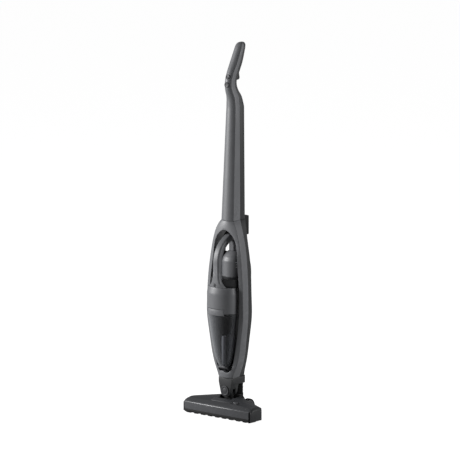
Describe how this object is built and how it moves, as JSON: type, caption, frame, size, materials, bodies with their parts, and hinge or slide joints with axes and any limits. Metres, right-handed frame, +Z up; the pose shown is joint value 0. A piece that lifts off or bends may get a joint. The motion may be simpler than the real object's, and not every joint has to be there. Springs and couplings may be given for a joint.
{
  "type": "cordless stick vacuum",
  "caption": "Cordless stick vacuum with a floor nozzle, swivelling neck, leaf-shaped frame holding a removable hand unit with dust cup, and a tapered tube with a bent grip.",
  "frame": {"origin": "on the floor, in the middle of the standing vacuum's outer box", "axes": "+Z up along the stick, -Y out of the nozzle's front edge, +X along the nozzle"},
  "size_m": [0.264, 0.138, 1.091],
  "materials": {
    "grey_shell": "satin moulded",
    "dark_shell": "satin moulded",
    "charcoal": "fine texture",
    "bar_grey": "satin moulded",
    "black_plastic": "plain",
    "smoked": "clear, smoked",
    "pale_plastic": "plain",
    "tyre": "plain",
    "rubber": "plain",
    "steel": "turned",
    "bristle": "nylon",
    "filter": "pleated",
    "cell_wrap": "shrink wrap",
    "board": "circuit board",
    "lamp": "diffusing",
    "contact": "with contact blades"
  },
  "bodies": {
    "nozzle": {"nozzle_cover": "charcoal", "nozzle_sole": "black_plastic", "front_bar": "bar_grey", "end_cap_left": "dark_shell", "end_cap_right": "dark_shell", "front_glides": "black_plastic", "brush_bearings": "steel", "brush_motor": "steel", "drive_belt": "rubber", "wheel_axles": "steel", "yoke_pins": "steel", "nozzle_screws": "steel"},
    "brush_roll": {"brush_core": "black_plastic", "brush_bristles": "bristle", "brush_pulley": "black_plastic"},
    "motor_pulley": {"motor_pulley": "steel"},
    "wheel_left": {"wheel_left": "bar_grey", "tyre_left": "tyre"},
    "wheel_right": {"wheel_right": "bar_grey", "tyre_right": "tyre"},
    "pedal": {"foot_pedal": "charcoal"},
    "brush_latch": {"brush_latch": "bar_grey"},
    "yoke": {"yoke": "black_plastic", "pivot_pin": "charcoal", "neck_hose": "rubber"},
    "stick": {"neck_shell": "dark_shell", "inlet_duct": "black_plastic", "nose_seal": "rubber", "frame_front": "grey_shell", "frame_back": "dark_shell", "rear_cover": "dark_shell", "dock_board": "board", "frame_screws": "steel", "dock_contacts": "contact", "wiring": "rubber", "tube_front": "grey_shell", "tube_back": "dark_shell", "switch_board": "board", "grip_spur": "dark_shell", "rear_bracket": "black_plastic"},
    "power_button": {"power_button": "charcoal"},
    "boost_button": {"boost_button": "charcoal"},
    "hand_unit": {"hand_collar": "grey_shell", "hand_housing": "dark_shell", "motor_dome": "grey_shell", "dome_lights": "lamp", "hand_handle": "grey_shell", "suction_motor": "steel", "fan_shroud": "black_plastic", "battery_cells": "cell_wrap", "control_board": "board"},
    "impeller": {"impeller": "black_plastic"},
    "hand_button": {"hand_button": "charcoal"},
    "cup_latch": {"cup_latch": "grey_shell"},
    "cup": {"dust_cup": "smoked", "inlet_pipe": "pale_plastic", "cup_nose": "bar_grey", "filter_frame": "black_plastic", "filter_cartridge": "filter"}
  },
  "joints": [
    {"name": "recline", "type": "hinge", "parent": "nozzle", "child": "yoke", "pos_m": [0, 0.021, 0.04], "axis": [-1, 0, 0], "range_deg": [0, 75]},
    {"name": "swing", "type": "hinge", "parent": "yoke", "child": "stick", "pos_m": [0, -0.005, 0.075], "axis": [0, 1, 0], "range_deg": [-35, 35], "deforming": ["neck_hose"]},
    {"name": "brush_spin", "type": "hinge", "parent": "nozzle", "child": "brush_roll", "pos_m": [0, -0.0345, 0.0195], "axis": [1, 0, 0], "continuous": true},
    {"name": "motor_spin", "type": "hinge", "parent": "nozzle", "child": "motor_pulley", "pos_m": [0, -0.0084, 0.022], "axis": [1, 0, 0], "continuous": true},
    {"name": "wheel_left_spin", "type": "hinge", "parent": "nozzle", "child": "wheel_left", "pos_m": [-0.036, 0.038, 0.024], "axis": [1, 0, 0], "continuous": true},
    {"name": "wheel_right_spin", "type": "hinge", "parent": "nozzle", "child": "wheel_right", "pos_m": [0.036, 0.038, 0.024], "axis": [1, 0, 0], "continuous": true},
    {"name": "pedal_press", "type": "hinge", "parent": "nozzle", "child": "pedal", "pos_m": [0, -0.024, 0.0494], "axis": [1, 0, 0], "range_deg": [0, 4], "stiffness_Nm_per_rad": 0.9, "springref_deg": -2.29},
    {"name": "brush_latch_slide", "type": "slide", "parent": "nozzle", "child": "brush_latch", "axis": [1, 0, 0], "range_m": [0, 0.005], "stiffness_N_per_m": 400, "springref_m": -0.002},
    {"name": "power_press", "type": "slide", "parent": "stick", "child": "power_button", "axis": [0, 1, 0], "range_m": [0, 0.002], "stiffness_N_per_m": 800, "springref_m": -0.001},
    {"name": "boost_press", "type": "slide", "parent": "stick", "child": "boost_button", "axis": [0, 0.9397, -0.342], "range_m": [0, 0.002], "stiffness_N_per_m": 800, "springref_m": -0.001},
    {"name": "hand_unit_release", "type": "slide", "parent": "stick", "child": "hand_unit", "axis": [0, -1, 0], "range_m": [0, 0.16]},
    {"name": "fan_spin", "type": "hinge", "parent": "hand_unit", "child": "impeller", "pos_m": [0, -0.034, 0.322], "axis": [0, 0, 1], "continuous": true},
    {"name": "hand_button_press", "type": "slide", "parent": "hand_unit", "child": "hand_button", "axis": [0, 1, 0], "range_m": [0, 0.0015], "stiffness_N_per_m": 800, "springref_m": -0.001},
    {"name": "cup_release", "type": "slide", "parent": "hand_unit", "child": "cup", "axis": [0, -1, 0], "range_m": [0, 0.12]},
    {"name": "cup_latch_press", "type": "hinge", "parent": "cup", "child": "cup_latch", "pos_m": [0, -0.0645, 0.305], "axis": [1, 0, 0], "range_deg": [0, 8], "stiffness_Nm_per_rad": 0.5, "springref_deg": -3.44}
  ],
  "couplings": [
    {"joint": "motor_spin", "follows": "brush_spin", "ratio": 2.5}
  ]
}
